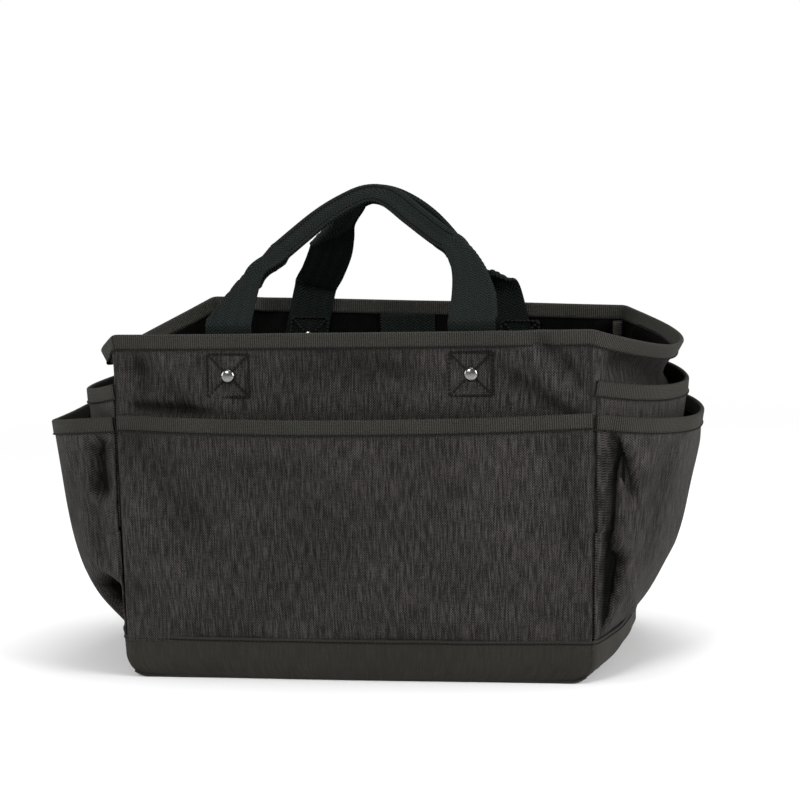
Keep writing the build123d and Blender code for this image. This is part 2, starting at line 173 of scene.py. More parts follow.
def place(side, across, out, z):
    """A point of the front, right, back or left wall. across runs anticlockwise seen from above."""
    x, y = [(across, -out), (out, across), (-across, out), (-out, -across)][side]
    return np.stack(np.broadcast_arrays(x, y, z), -1)


def body_wall(side, along, z):
    if side in LONG_SIDES:
        return place(side, *arc(along, half_width(z), half_depth(z), front_bulge(z)), z)
    return place(side, *arc(along, half_depth(z), half_width(z), side_bulge(z, side)), z)


def rise_to(z, foot, top):
    return np.clip((top - z) / (top - foot), 0, 1)


def front_pocket_wall(side, along, z):
    rise = rise_to(z, BAND_TOP, FRONT_POCKET_TOP)
    gape = 0.012 * (1 - rise**2)
    across, out = arc(along, half_width(z) - 0.0004, half_depth(z) + 0.0022, front_bulge(z) + gape)
    return place(side, across, out, z)


def lower_pocket_wall(side, along, z):
    """The left pocket is stuffed fuller than the right, and squarer."""
    rise = rise_to(z, BAND_TOP, LOWER_POCKET_TOP)
    foot = side_bulge(BAND_TOP, side)
    more, slant, square, corner = POCKET_STUFFING[side]
    drop = slant * rise**1.15 + (1 - slant) * rise**7
    bulge = foot + (LOWER_POCKET_REACH + more - foot) * (1 - drop)
    chord_out = half_width(z) + 0.002
    half = half_depth(z) - 0.0002
    across, round_out = arc(along, half, chord_out, bulge)
    square_out = chord_out + bulge * (1 - np.abs(along) ** corner)
    out = round_out + (square_out - round_out) * square * (1 - rise**12)
    return place(side, across + (half * along - across) * square, out, z)


def arc_out(across, half_chord, chord_out, bulge):
    """How far out an arc lies at a distance across."""
    radius = (half_chord**2 + bulge**2) / (2 * bulge)
    return chord_out + bulge - radius + np.sqrt(np.maximum(radius**2 - across**2, 0))


def upper_pocket_arc(side, z):
    """Half chord, chord and bulge. Its ends lie on the side panel, a little in from the corner."""
    rise = rise_to(z, UPPER_POCKET_FOOT, UPPER_POCKET_TOP)
    foot = side_bulge(UPPER_POCKET_FOOT, side) + 0.002
    top = UPPER_POCKET_REACH + (0.001 if side == RIGHT else -0.008)
    out = half_width(z) + foot + (top - foot) * (1 - rise**2)
    end = half_depth(z) - 0.0018
    chord_out = half_width(z) + 0.0032
    return end, chord_out, out - chord_out


def upper_pocket_wall(side, along, z):
    return place(side, *arc(along, *upper_pocket_arc(side, z)), z)


def clear_of_body(side, points, gap):
    """Moves a side pocket's points out to at least `gap` beyond whatever lies behind them."""
    x, y, z = points[..., 0], points[..., 1], points[..., 2]
    behind = arc_out(y, half_depth(z), half_width(z), side_bulge(z, side)) + gap
    upper = arc_out(y, *upper_pocket_arc(side, z)) + gap
    behind = np.where(z > UPPER_POCKET_FOOT - 0.004, np.maximum(behind, upper), behind)
    facing = 1 if side == RIGHT else -1
    points[..., 0] = facing * np.maximum(facing * x, behind)
    return points


# ---- folds in the cloth
def fold(cloth, start, end, width, height):
    """Height of a soft fold that runs from start to end in cloth coordinates, fading at both ends."""
    start, end = np.array(start), np.array(end)
    line = end - start
    length = np.linalg.norm(line)
    away = cloth - start
    t = (away @ line) / length**2
    off = (away[..., 0] * line[1] - away[..., 1] * line[0]) / length
    fade = np.exp(-((np.clip(np.abs(t - 0.5) - 0.32, 0, None) / 0.16) ** 2))
    return height * fade * np.exp(-((off / width) ** 2))


def ripples(cloth, seed, size, height):
    """Gentle unevenness: a few waves of random direction."""
    rng = np.random.default_rng(seed)
    total = np.zeros(cloth.shape[:-1])
    for _ in range(9):
        turn, phase = rng.uniform(0, math.tau, 2)
        pitch = size * rng.uniform(0.6, 1.8)
        run = cloth[..., 0] * math.cos(turn) + cloth[..., 1] * math.sin(turn)
        total += np.sin(run * math.tau / pitch + phase)
    return height * total / 3


# Folds on each wall: start and end (across from the wall's middle, height), width, height of the ridge. Deep
# folds also get painted shade from the cloth material.
SIDE_FOLDS = [
    ((-0.1215, 0.208), (-0.1165, 0.050), 0.0065, -0.020),
    ((-0.117, 0.202), (-0.096, 0.150), 0.004, -0.009),
    ((-0.106, 0.105), (-0.115, 0.040), 0.006, -0.022),
    ((-0.096, 0.075), (-0.060, 0.045), 0.008, 0.004),
    ((-0.060, 0.195), (-0.075, 0.090), 0.012, -0.003),
    ((0.121, 0.202), (0.117, 0.150), 0.0045, -0.012),
    ((0.110, 0.192), (0.085, 0.120), 0.012, -0.0025),
    ((0.124, 0.076), (0.100, 0.056), 0.011, -0.024),
    ((0.122, 0.052), (0.092, 0.048), 0.008, -0.018),
    ((0.112, 0.150), (0.116, 0.095), 0.006, -0.004),
    ((0.020, 0.195), (-0.020, 0.080), 0.016, 0.003),
]
UNDER_RIM_FOLDS = [
    ((-0.122, 0.266), (-0.025, 0.236), 0.012, -0.008),
    ((-0.035, 0.236), (0.035, 0.236), 0.012, -0.006),
    ((0.025, 0.236), (0.122, 0.266), 0.012, -0.008),
]
PANEL_FOLDS = [
    ((0.130, 0.285), (0.185, 0.225), 0.007, 0.0040),
    ((0.150, 0.288), (0.192, 0.245), 0.005, -0.0040),
    ((0.120, 0.262), (0.190, 0.215), 0.006, -0.0040),
    ((-0.185, 0.270), (-0.130, 0.225), 0.008, -0.0036),
    ((-0.190, 0.2310), (-0.112, 0.2235), 0.0050, -0.0085),
    ((-0.180, 0.275), (-0.172, 0.235), 0.007, -0.0045),
    ((-0.060, 0.255), (0.060, 0.262), 0.012, -0.0026),
    ((-0.100, 0.240), (-0.160, 0.200), 0.010, 0.0022),
    ((-0.030, 0.275), (0.075, 0.250), 0.006, -0.0022),
]
POCKET_FOLDS = [
    ((-0.19, 0.215), (-0.12, 0.12), 0.018, -0.0035),
    ((-0.185, 0.12), (-0.13, 0.06), 0.016, 0.0025),
    ((0.17, 0.21), (0.185, 0.10), 0.012, -0.003),
    ((0.10, 0.20), (0.14, 0.08), 0.022, 0.0025),
    ((-0.05, 0.20), (-0.02, 0.07), 0.030, -0.002),
    ((0.02, 0.06), (0.16, 0.045), 0.012, 0.002),
]


def relief(cloth, folds, seed, size, height):
    total = ripples(cloth, seed, size, height)
    for one in folds:
        total = total + fold(cloth, *one)
    return total


# ---- meshes
def new_mesh(name, points, faces, cloth=None):
    mesh = bpy.data.meshes.new(name)
    mesh.from_pydata(points.reshape(-1, 3).tolist(), [], faces)
    if cloth is not None:
        layer = mesh.attributes.new("cloth", "FLOAT_VECTOR", "POINT")
        layer.data.foreach_set("vector", np.asarray(cloth, float).reshape(-1))
    mesh.validate()
    mesh.shade_smooth()
    piece = bpy.data.objects.new(name, mesh)
    bpy.context.collection.objects.link(piece)
    return piece


def grid_normals(points, ring):
    """Unit normals of a grid of points, first index along, second index up. ring closes the first."""
    if ring:
        along = np.roll(points, -1, 0) - np.roll(points, 1, 0)
    else:
        along = np.gradient(points, axis=0)
    normal = np.cross(along, np.gradient(points, axis=1))
    return normal / np.maximum(np.linalg.norm(normal, axis=-1, keepdims=True), 1e-12)


def thick_sheet(name, points, cloth, thickness, ring=False):
    """A closed mesh: the grid, a second grid `thickness` behind it, and the edges between."""
    rows, columns = points.shape[:2]
    behind = points - grid_normals(points, ring) * thickness
    both = np.concatenate([points.reshape(-1, 3), behind.reshape(-1, 3)])
    if cloth.shape[-1] == 2:
        cloth = np.concatenate([cloth, np.zeros(cloth.shape[:-1] + (1,))], -1)
    cloth = cloth.reshape(-1, 3)

    def at(i, j, layer):
        return layer * rows * columns + (i % rows) * columns + j

    faces = []
    last = rows if ring else rows - 1
    for i in range(last):
        for j in range(columns - 1):
            quad = [(i, j), (i + 1, j), (i + 1, j + 1), (i, j + 1)]
            faces.append([at(*q, 0) for q in quad])
            faces.append([at(*q, 1) for q in reversed(quad)])
        for j in (0, columns - 1):
            edge = [at(i, j, 0), at(i, j, 1), at(i + 1, j, 1), at(i + 1, j, 0)]
            faces.append(edge if j == 0 else edge[::-1])
    if not ring:
        for i in (0, rows - 1):
            for j in range(columns - 1):
                edge = [at(i, j, 0), at(i, j + 1, 0), at(i, j + 1, 1), at(i, j, 1)]
                faces.append(edge if i == 0 else edge[::-1])
    return new_mesh(name, both, faces, np.concatenate([cloth, cloth]))


def sweep(name, path, across, up, section, ring=False):
    """A closed section carried along a path. across and up are the section's axes at each point."""
    count, sides = len(path), len(section)
    points = path[:, None] + across[:, None] * section[None, :, :1] + up[:, None] * section[None, :, 1:2]
    cloth = np.zeros((count, sides, 3))
    cloth[..., 0] = run_along(path)[:, None]
    cloth[..., 1] = run_along(section)[None, :]
    faces = []
    for i in range(count if ring else count - 1):
        for j in range(sides):
            a, b = i * sides, ((i + 1) % count) * sides
            k = (j + 1) % sides
            faces.append([a + j, b + j, b + k, a + k])
    if not ring:
        faces.append(list(range(sides)))
        faces.append([(count - 1) * sides + j for j in reversed(range(sides))])
    return new_mesh(name, points, faces, cloth)


def join(name, pieces):
    """Several meshes as one piece."""
    bpy.ops.object.select_all(action="DESELECT")
    for piece in pieces:
        piece.select_set(True)
    bpy.context.view_layer.objects.active = pieces[0]
    bpy.ops.object.join()
    joined = bpy.context.view_layer.objects.active
    joined.name = name
    return joined


def line_inside(piece, material):
    """The second half of a thick sheet's points is its inner face: that face gets its own material."""
    piece.data.materials.append(material)
    half = len(piece.data.vertices) // 2
    for face in piece.data.polygons:
        face.material_index = int(min(face.vertices) >= half)


def finish_piece(piece, material, body, nodes):
    """Material, body and replaced nodes of one piece."""
    piece.data.materials.clear()
    piece.data.materials.append(material)
    if body:
        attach(piece, body)
    if nodes:
        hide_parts(*nodes)


def finish_thread(piece, body="bag"):
    finish_piece(piece, THREAD_BLACK, body, [])


# ---- materials
class Nodes:
    """Short helpers over one material's node tree."""

    def __init__(self, name):
        self.material = bpy.data.materials.new(name)
        self.material.use_nodes = True
        self.tree = self.material.node_tree
        self.shader = self.tree.nodes["Principled BSDF"]

    def add(self, kind, **settings):
        node = self.tree.nodes.new(kind)
        for key, value in settings.items():
            setattr(node, key, value)
        return node

    def link(self, source, target):
        self.tree.links.new(source, target)

    def cloth(self, scale):
        """The cloth's own coordinates, in metres, scaled."""
        source = self.add("ShaderNodeAttribute", attribute_name="cloth")
        mapping = self.add("ShaderNodeMapping")
        mapping.inputs["Scale"].default_value = scale
        self.link(source.outputs["Vector"], mapping.inputs["Vector"])
        return mapping.outputs["Vector"]

    def noise(self, vector, detail=3.0, roughness=0.5):
        node = self.add("ShaderNodeTexNoise")
        node.inputs["Scale"].default_value = 1.0
        node.inputs["Detail"].default_value = detail
        node.inputs["Roughness"].default_value = roughness
        self.link(vector, node.inputs["Vector"])
        return node.outputs["Fac"]

    def object_noise(self, scale, detail=2.0):
        """Noise over a piece that has no cloth coordinates. Returns the place as well as the noise."""
        where = self.add("ShaderNodeTexCoord").outputs["Object"]
        node = self.add("ShaderNodeTexNoise")
        node.inputs["Scale"].default_value = scale
        node.inputs["Detail"].default_value = detail
        self.link(where, node.inputs["Vector"])
        return where, node.outputs["Fac"]

    def math(self, operation, a, b=None, clamp=False):
        node = self.add("ShaderNodeMath", operation=operation, use_clamp=clamp)
        for value, socket in ((a, node.inputs[0]), (b, node.inputs[1])):
            if isinstance(value, (int, float)):
                socket.default_value = value
            elif value is not None:
                self.link(value, socket)
        return node.outputs[0]

    def weighted(self, *terms):
        """Sum of sockets, each times its weight."""
        products = [self.math("MULTIPLY", socket, weight) for socket, weight in terms]
        total = products[0]
        for product in products[1:]:
            total = self.math("ADD", total, product)
        return total

    def cloth_parts(self, scale=(1, 1, 1)):
        """Along the cloth, up it, and the height of its folds, each as a socket."""
        split = self.add("ShaderNodeSeparateXYZ")
        self.link(self.cloth(scale), split.inputs[0])
        return split.outputs

    def wave(self, pitch, axis, distort=0.0):
        """A sine ridge every `pitch` metres along one cloth axis."""
        scale = [0.0, 0.0, 0.0]
        scale[axis] = math.tau / pitch
        phase = self.cloth_parts(scale)[axis]
        if distort:
            waver = self.noise(self.cloth((90, 90, 90)))
            phase = self.math("ADD", phase, self.math("MULTIPLY", waver, distort))
        return self.math("SINE", phase)

    def ramp(self, factor, stops):
        node = self.add("ShaderNodeValToRGB")
        ramp = node.color_ramp
        while len(ramp.elements) < len(stops):
            ramp.elements.new(0.5)
        for element, (at, colour) in zip(ramp.elements, stops):
            element.position = at
            element.color = (*colour, 1)
        self.link(factor, node.inputs["Fac"])
        return node.outputs["Color"]

    def bump(self, height, distance, strength=1.0, after=None):
        node = self.add("ShaderNodeBump")
        node.inputs["Distance"].default_value = distance
        node.inputs["Strength"].default_value = strength
        self.link(height, node.inputs["Height"])
        if after is not None:
            self.link(after, node.inputs["Normal"])
        return node.outputs["Normal"]


# Painted shade in folds: depth of a fold, lowest and highest, and the share of the cloth's colour and gloss
# left there, so that deep folds are darkened as if in shadow.
CREASE_SHADE = (-0.013, 0.001, 0.08, 1.04)


def shade(colour, factor):
    return tuple(c * factor for c in colour)


def woven(name, colour, pitch, streaks, roughness, sheen, bump, gloss=0.22):
    """Plain-weave cloth: crossing threads, slubs along the warp, patches of wear, and painted shade in its
    creases, which darkens their colour and gloss.
    """
    n = Nodes(name)
    weave = n.math("MULTIPLY", n.wave(pitch, 0, 2.0), n.wave(pitch, 1, 2.0))
    slub = n.noise(n.cloth((820, 58, 1)), 4.0, 0.62)
    weft = n.noise(n.cloth((110, 900, 1)), 2.0)
    patch = n.noise(n.cloth((14, 9, 1)), 4.0, 0.55)
    tone = n.weighted((slub, 2.4 * streaks), (weave, 0.34 * streaks), (weft, 0.5 * streaks), (patch, 0.16))
    middle = 1.45 * streaks + 0.08
    spread = n.math("ADD", n.math("SUBTRACT", tone, middle), 0.5, clamp=True)
    stops = [(0.10, shade(colour, 0.22)), (0.5, colour), (0.90, shade(colour, 2.6))]
    # Painted shade: the fold height darkens the cloth's colour in deep folds.
    painted_crease_shade = n.add("ShaderNodeMapRange")
    for socket, value in zip(("From Min", "From Max", "To Min", "To Max"), CREASE_SHADE):
        painted_crease_shade.inputs[socket].default_value = value
    n.link(n.cloth_parts()[2], painted_crease_shade.inputs["Value"])
    colour_with_painted_shade = n.add("ShaderNodeVectorMath", operation="SCALE")
    n.link(n.ramp(spread, stops), colour_with_painted_shade.inputs[0])
    n.link(painted_crease_shade.outputs["Result"], colour_with_painted_shade.inputs["Scale"])
    n.link(colour_with_painted_shade.outputs["Vector"], n.shader.inputs["Base Color"])
    rough = n.math("ADD", n.math("MULTIPLY", slub, 0.16), roughness - 0.08)
    n.link(rough, n.shader.inputs["Roughness"])
    coarse = n.bump(slub, 0.0005, 0.7)
    n.link(n.bump(weave, bump, 0.9, coarse), n.shader.inputs["Normal"])
    n.shader.inputs["Sheen Weight"].default_value = sheen
    n.shader.inputs["Sheen Roughness"].default_value = 0.45
    # Painted shade: deep folds lose their gloss as well as their colour.
    n.link(n.math("MULTIPLY", painted_crease_shade.outputs["Result"], gloss), n.shader.inputs["Specular IOR Level"])
    return n.material


def ribbed(name, colour, rib, cross, roughness, gloss, herringbone=0.0):
    """Narrow woven tape or webbing: ribs along or across it, with a fine cross thread."""
    n = Nodes(name)
    along, up, _ = n.cloth_parts()
    zigzag = n.math("PINGPONG", up, 0.0048)
    run = n.math("ADD", along, n.math("MULTIPLY", zigzag, herringbone))
    ribs = n.math("SINE", n.math("MULTIPLY", run, math.tau / rib))
    threads = n.wave(cross, 1, 1.0)
    fuzz = n.noise(n.cloth((700, 700, 1)), 3.0)
    patch = n.noise(n.cloth((22, 22, 1)), 3.0)
    tone = n.weighted((ribs, 0.26), (threads, 0.10), (fuzz, 0.45), (patch, 0.35))
    factor = n.math("ADD", tone, 0.10, clamp=True)
    stops = [(0.15, shade(colour, 0.4)), (0.5, colour), (0.9, shade(colour, 2.0))]
    n.link(n.ramp(factor, stops), n.shader.inputs["Base Color"])
    n.link(n.math("ADD", n.math("MULTIPLY", fuzz, 0.2), roughness - 0.1), n.shader.inputs["Roughness"])
    fine = n.bump(threads, 0.00018, 0.6)
    n.link(n.bump(ribs, 0.0004, 0.9, fine), n.shader.inputs["Normal"])
    n.shader.inputs["Sheen Weight"].default_value = 0.006
    n.shader.inputs["Sheen Roughness"].default_value = 0.4
    n.shader.inputs["Specular IOR Level"].default_value = gloss
    return n.material


def thread_material():
    n = Nodes("thread")
    strands = n.noise(n.cloth((2500, 2500, 2500)), 2.0)
    colour = n.ramp(strands, [(0.3, (0.001, 0.001, 0.001)), (0.7, (0.006, 0.006, 0.006))])
    n.link(colour, n.shader.inputs["Base Color"])
    n.shader.inputs["Roughness"].default_value = 0.75
    n.shader.inputs["Specular IOR Level"].default_value = 0.15
    n.link(n.bump(strands, 0.0001), n.shader.inputs["Normal"])
    return n.material


def speckled(name, scale, detail, dark, light, rough_range, roughness, bump):
    """A hard surface with fine speckle in its colour, its roughness and its relief."""
    n = Nodes(name)
    speckle = n.object_noise(scale, detail)[1]
    n.link(n.ramp(speckle, [(0.3, dark), (0.7, light)]), n.shader.inputs["Base Color"])
    rough = n.math("ADD", n.math("MULTIPLY", speckle, rough_range), roughness)
    n.link(rough, n.shader.inputs["Roughness"])
    n.link(n.bump(speckle, bump), n.shader.inputs["Normal"])
    return n


def nickel_material():
    n = speckled("nickel", 900, 5, (0.15, 0.15, 0.145), (0.25, 0.25, 0.245), 0.2, 0.08, 0.00003)
    n.shader.inputs["Metallic"].default_value = 1.0
    return n.material


def board_material():
    n = speckled("board", 1400, 4, (0.008, 0.008, 0.008), (0.022, 0.021, 0.02), 0.25, 0.45, 0.0002)
    return n.material


BODY = woven("body_cloth", (0.0196, 0.0175, 0.0164), 0.0021, 1.1, 0.80, 0.01, 0.0003, 0.13)
# The inner face is dark cloth made near black, far darker than the outer face: painted shade for the bag's
# shadowed inside.
LINING_PAINTED_SHADE = woven("lining_painted_shade", (0.0018, 0.0018, 0.0017), 0.0012, 0.5, 0.9, 0.0, 0.0002, 0.05)
FOOT = woven("foot_cloth", (0.0200, 0.0178, 0.0148), 0.0012, 0.24, 0.66, 0.01, 0.00012, 0.13)
TAPE_CLOTH = ribbed("binding_tape", (0.0255, 0.0248, 0.0212), 0.0018, 0.0012, 0.80, gloss=0.12)
STRAP = ribbed("webbing", (0.0040, 0.0064, 0.0057), 0.0026, 0.0014, 0.65, gloss=0.07, herringbone=0.8)
THREAD_BLACK = thread_material()
NICKEL = nickel_material()
BOARD = board_material()


# ---- walls
def wall_grid(wall, side, count, heights, sag_low=0.0, sag_high=0.0):
    """A grid of points on one wall, and its cloth coordinates. Each line of points sags at the middle."""
    along = np.linspace(-1, 1, count)[:, None]
    t = np.linspace(0, 1, len(heights))[None, :]
    bow = 1 - along**2
    z = np.array(heights)[None, :] - bow * (sag_low * (1 - t) + sag_high * t)
    points = wall(side, along, z)
    cloth = np.stack(np.broadcast_arrays(along * rim_half(side), z), -1)
    return points, cloth


def rim_half(side):
    """Half the length of one wall at the rim."""
    return HALF_WIDTH_RIM if side in LONG_SIDES else HALF_DEPTH_RIM


def edge_fade(cloth, half, low, high, margin):
    """1 in the middle of a panel, falling to 0 at its sewn edges."""
    from_ends = np.minimum(cloth[..., 1] - low, high - cloth[..., 1])
    inwards = np.minimum(half - np.abs(cloth[..., 0]), from_ends)
    return ease(np.clip(inwards / margin, 0, 1))


def body_ring(heights, sag_low, sag_high):
    """Points and cloth coordinates of the four body walls, which run round the bag as one ring."""
    rings, cloths = [], []
    for side in SIDES:
        sags = (0.0, 0.0) if side in LONG_SIDES else (sag_low, sag_high)
        points, cloth = wall_grid(body_wall, side, WALL_COLUMNS, heights, *sags)
        fade = edge_fade(cloth, rim_half(side), 0.0, RIM + 0.03, 0.02)
        folds = PANEL_FOLDS if side in LONG_SIDES else UNDER_RIM_FOLDS
        height = relief(cloth, folds, side, 0.12, 0.0007) * fade
        points = points + grid_normals(points, False) * height[..., None]
        rings.append(points[:-1])
        # The fold height rides along as the third cloth coordinate; the cloth material turns it into painted
        # shade in deep folds.
        cloths.append(np.concatenate([cloth + [side * CLOTH_SHIFT, 0], height[..., None]], -1)[:-1])
    return settle(soften_corners(np.concatenate(rings))), np.concatenate(cloths)


def soften_corners(points):
    """Rounds a ring's corners by averaging over CORNER_SOFTNESS of its length."""
    steps = np.linalg.norm(np.diff(points[:, 0], axis=0), axis=1)
    reach = max(1, int(CORNER_SOFTNESS / 2 / np.median(steps)))
    return sum(np.roll(points, k, 0) for k in range(-reach, reach + 1)) / (2 * reach + 1)


def wall_piece(name, wall, side, low, high, folds, seed, sag):
    """One pocket's cloth: the points of its outer face, and the piece."""
    points, cloth = wall_grid(wall, side, POCKET_COLUMNS, np.linspace(low, high, WALL_ROWS), 0.0, sag)
    fade = edge_fade(cloth, rim_half(side), low, high + 0.02, 0.003)
    height = relief(cloth, folds, seed, 0.10, 0.0009) * fade
    points = points + grid_normals(points, False) * height[..., None]
    if wall is lower_pocket_wall:
        points = clear_of_body(side, points, CLOTH + 0.001)
    points = settle(points)
    # The fold height rides along as the third cloth coordinate; the cloth material turns it into painted
    # shade in deep folds.
    cloth = np.concatenate([cloth + [seed * CLOTH_SHIFT, 0], height[..., None]], -1)
    return points, thick_sheet(name, points, cloth, CLOTH)


# ---- tape and stitches
def tape_section(inside, outside, width):
    """Outline of a tape folded over an edge, in (out, up): down the inside, and back up the outside."""
    fold_turn = np.linspace(0, math.pi, 9)
    middle, half = (outside - inside) / 2, (outside + inside) / 2
    outer = np.stack([middle + (half + TAPE) * np.cos(fold_turn), (half + TAPE) * np.sin(fold_turn) * 0.8], 1)
    inner = np.stack([middle + half * np.cos(fold_turn), half * np.sin(fold_turn) * 0.8], 1)[::-1]
    down = np.array([[0, -width]])
    drops = np.linspace(1, 0, 5)[:, None]
    rows = [outer[0] + down * drops, outer[1:-1], outer[-1] + down * drops[::-1]]
    rows += [inner[0] + down * drops, inner[1:-1], inner[-1] + down * drops[::-1]]
    return np.concatenate(rows)


def edge_frame(points, ring=False):
    """Top row of a wall grid, with its outward and upward directions."""
    top = points[:, -1]
    out = grid_normals(points, ring)[:, -1]
    along = np.roll(top, -1, 0) - np.roll(top, 1, 0) if ring else np.gradient(top, axis=0)
    along /= np.linalg.norm(along, axis=1, keepdims=True)
    up = np.cross(out, along)
    up = np.where(up[:, 2:3] < 0, -up, up)
    return top, out, up


def bind(name, points, ring=False):
    """Tape over a wall's top edge, with a line of stitches through it on each face."""
    top, out, up = edge_frame(points, ring)
    section = tape_section(CLOTH + TAPE_GAP, TAPE_GAP, TAPE_WIDTH)
    tape = sweep(name, top + up * TAPE_GAP, out, up, section, ring)
    drop = up * (TAPE_WIDTH - STITCH_INSET)
    outer = top + out * (SEAM_PROUD + TAPE) - drop
    inner = top - out * (CLOTH + SEAM_PROUD + TAPE) - drop
    rows = [stitch_run("outer_row", outer, out), stitch_run("inner_row", inner, -out)]
    return tape, join(name + "_stitches", rows)


def stitch_run(name, path, normal, weight=1.0):
    """A row of lock stitches along a path: short thread ovals with small gaps. weight thickens the thread."""
    path = np.asarray(path)
    run = run_along(path)
    count = max(2, int(run[-1] / STITCH))
    centres = (np.arange(count) + 0.5) * run[-1] / count

    def along_line(values, at):
        return np.stack([np.interp(at, run, values[:, k]) for k in range(3)], 1)

    spots = along_line(path, centres)
    tangent = along_line(path, centres + 0.001) - along_line(path, centres - 0.001)
    tangent /= np.linalg.norm(tangent, axis=1, keepdims=True)
    up = along_line(normal, centres)
    side = np.cross(tangent, up)
    turns = np.linspace(0, math.tau, THREAD_SIDES, endpoint=False)
    rings = [(-0.48, 0.45), (-0.30, 0.95), (0.0, 1.1), (0.30, 0.95), (0.48, 0.45)]
    points, faces = [], []
    for spot, t, u, s in zip(spots, tangent, up, side):
        first = len(points)
        last = first + (len(rings) - 1) * THREAD_SIDES
        for along, radius in rings:
            lift = (1 - (2 * along) ** 2) * THREAD * 0.7 - THREAD * 0.3
            for turn in turns:
                around = s * math.cos(turn) + u * math.sin(turn)
                points.append(spot + t * along * STITCH + u * lift + around * THREAD * radius * weight)
        for a in range(first, last, THREAD_SIDES):
            b = a + THREAD_SIDES
            for k in range(THREAD_SIDES):
                following = (k + 1) % THREAD_SIDES
                faces.append([a + k, a + following, b + following, b + k])
        faces.append([first + k for k in reversed(range(THREAD_SIDES))])
        faces.append([last + k for k in range(THREAD_SIDES)])
    points = np.array(points)
    return new_mesh(name, points, faces, points)


# ---- build the cloth body
def build_body():
    points, cloth = body_ring(np.linspace(CORNER_ROUND, RIM, WALL_ROWS), 0.0, RIM_SAG)
    shell = thick_sheet("bag_shell", points, cloth, CLOTH, ring=True)
    panels = ["front_panel", "back_panel", "left_side_panel", "right_side_panel"]
    finish_piece(shell, BODY, "bag", panels)
    line_inside(shell, LINING_PAINTED_SHADE)
    rim, _ = body_ring(np.linspace(RIM - 0.02, RIM, 6), RIM_SAG, RIM_SAG)
    tape, stitches = bind("rim_binding", rim, ring=True)
    names = [s + "_rim_binding" for s in ("front", "back", "left", "right")]
    finish_piece(tape, TAPE_CLOTH, "bag", names)
    finish_thread(stitches)


def build_pocket(name, wall, side, low, high, folds, seed, sag):
    points, piece = wall_piece(name + "_cloth", wall, side, low, high, folds, seed, sag)
    finish_piece(piece, BODY, "bag", [name])
    tape, stitches = bind(name + "_mouth_binding", points)
    finish_piece(tape, TAPE_CLOTH, "bag", [name + "_binding"])
    finish_thread(stitches)


def build_pockets():
    for name, side, seed in (("front", FRONT, 11), ("back", BACK, 12)):
        reach = (FRONT_POCKET_FOOT, FRONT_POCKET_TOP)
        build_pocket(name + "_pocket", front_pocket_wall, side, *reach, POCKET_FOLDS, seed, FRONT_POCKET_SAG)
    for name, side, seed in (("right", RIGHT, 13), ("left", LEFT, 14)):
        lower = (BAND_TOP - 0.006, LOWER_POCKET_TOP)
        upper = (UPPER_POCKET_FOOT, UPPER_POCKET_TOP)
        build_pocket(name + "_lower_pocket", lower_pocket_wall, side, *lower, SIDE_FOLDS, seed, POCKET_SAG)
        build_pocket(name + "_upper_pocket", upper_pocket_wall, side, *upper, [], seed + 4, POCKET_SAG)


def band_wall(side, along, z):
    """The band stands just outside the pockets' feet and curves in under the bag at the floor."""
    under = np.clip(1 - z / CORNER_ROUND, 0, 1)
    inwards = CORNER_ROUND * (1 - np.sqrt(np.clip(1 - under**2, 0, 1)))
    corner_x = half_width(z) + BAND_PROUD - inwards
    corner_y = half_depth(z) + BAND_PROUD - inwards * 0.2
    if side in LONG_SIDES:
        return place(side, *arc(along, corner_x, corner_y, front_bulge(z) + 0.0015), z)
    bulge = BAND_FLOOR_BULGE + (side_bulge(BAND_TOP, side) - 0.001) * np.clip(z / CORNER_ROUND, 0, 1) ** 0.7
    return place(side, *arc(along, corner_y, corner_x, bulge), z)


def build_foot():
    rings, cloths = [], []
    heights = FLOOR_GAP + (BAND_TOP - FLOOR_GAP) * np.linspace(0, 1, 26) ** 1.5
    for side in SIDES:
        points, cloth = wall_grid(band_wall, side, WALL_COLUMNS, heights)
        bumps = relief(cloth, [], 30 + side, 0.07, 0.0008) * np.clip(cloth[..., 1] / 0.012, 0, 1)
        points = points + grid_normals(points, False) * bumps[..., None]
        rings.append(points[:-1])
        cloths.append(cloth[:-1] + [side * CLOTH_SHIFT, 0])
    ring = settle(soften_corners(soften_corners(np.concatenate(rings))))
    ring[..., 2] = np.maximum(ring[..., 2], 0.0004)
    band = thick_sheet("foot_band", ring, np.concatenate(cloths), BAND_THICK, ring=True)
    names = [s + "_base_band" for s in ("front", "back", "left", "right")]
    finish_piece(band, FOOT, "bag", names)
    top, out, up = edge_frame(ring, True)
    seam = stitch_run("foot_band_stitches", top + out * 0.0002 - up * 0.0025, out)
    finish_thread(seam)


def build_base():
    """Bottom cloth. Its left and right edges turn up inside the foot band's rounded corners."""
    low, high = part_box("base_panel")
    turn_up = 0.012
    y = np.linspace(low[1], high[1], 60)[None, :]
    flat_to = HALF_WIDTH_FLOOR + BAND_PROUD - CORNER_ROUND + BAND_FLOOR_BULGE * (1 - (y / high[1]) ** 2)
    x = np.linspace(-1, 1, WALL_COLUMNS)[:, None] * (flat_to + turn_up)
    over = np.maximum(np.abs(x) - flat_to, 0)
    cloth = np.stack(np.broadcast_arrays(x, y), -1)
    lift = np.abs(ripples(cloth, 41, 0.15, 0.00015)) + 0.0001
    z = high[2] + lift + CORNER_ROUND - np.sqrt(CORNER_ROUND**2 - over**2)
    points = settle(np.stack(np.broadcast_arrays(x, y, z), -1))
    base = thick_sheet("base_cloth", points, cloth, high[2] - 0.0001)
    finish_piece(base, FOOT, "bag", ["base_panel"])


